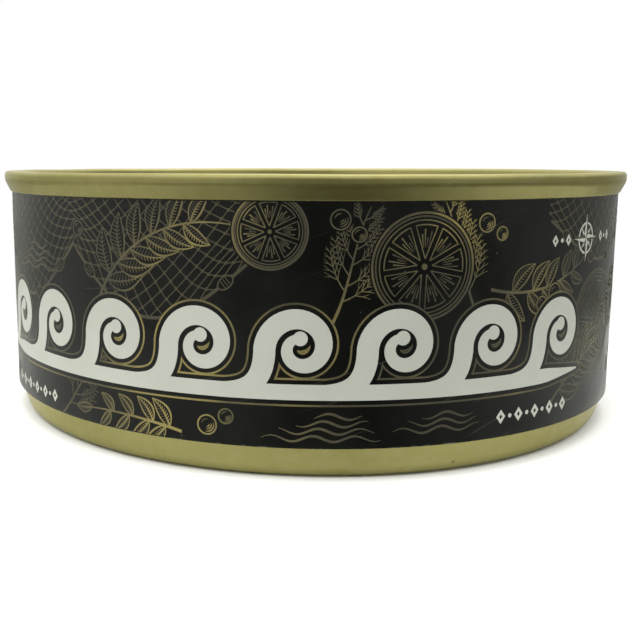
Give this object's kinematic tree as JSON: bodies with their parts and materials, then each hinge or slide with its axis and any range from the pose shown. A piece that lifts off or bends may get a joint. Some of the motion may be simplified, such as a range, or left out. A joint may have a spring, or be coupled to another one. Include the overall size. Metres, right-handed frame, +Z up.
{
  "type": "tin of sprats",
  "caption": "Low round shut tin for preserved fish, with a double-seamed lid, a bevelled foot and a dark wrapped label.",
  "frame": {"origin": "centre of the circle that the tin stands on", "axes": "+Z up along the tin's axis; the front of the print faces -Y"},
  "size_m": [0.1023, 0.1022, 0.0385],
  "materials": {
    "gold_lacquer": "satin gold lacquer over tinplate",
    "label_black": "varnished black print",
    "print_white": "varnished white print",
    "print_gold": "varnished dull gold print",
    "print_bronze": "varnished dark bronze print"
  },
  "bodies": {
    "root": {"can_body": "gold_lacquer", "lid": "gold_lacquer", "seam": "gold_lacquer", "label": "label_black"}
  },
  "joints": []
}
